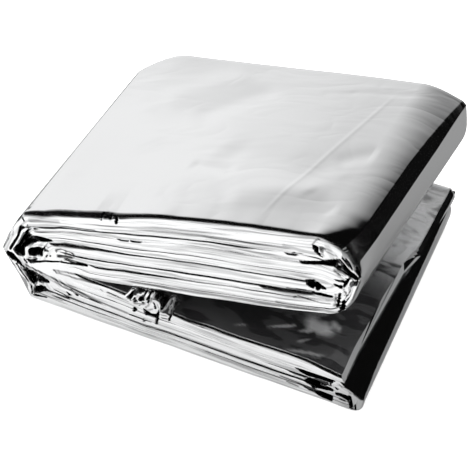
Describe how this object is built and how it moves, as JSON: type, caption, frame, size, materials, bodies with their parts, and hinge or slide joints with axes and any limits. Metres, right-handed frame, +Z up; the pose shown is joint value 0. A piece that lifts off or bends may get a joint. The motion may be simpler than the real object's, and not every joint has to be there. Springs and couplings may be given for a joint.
{
  "type": "folded emergency foil blanket",
  "caption": "Silver foil emergency blanket folded back and forth into a packet, with its upper half sprung open from the lower half at one side.",
  "frame": {"origin": "centre of the packet's footprint, on the surface it lies on", "axes": "+X along the front edge towards the open side, +Y from the front edge to the back edge, +Z up"},
  "size_m": [0.1364, 0.1, 0.0769],
  "materials": {
    "foil": "mirror-bright metallised film with fine creases"
  },
  "bodies": {
    "root": {"foil_blanket": "foil"}
  },
  "joints": []
}
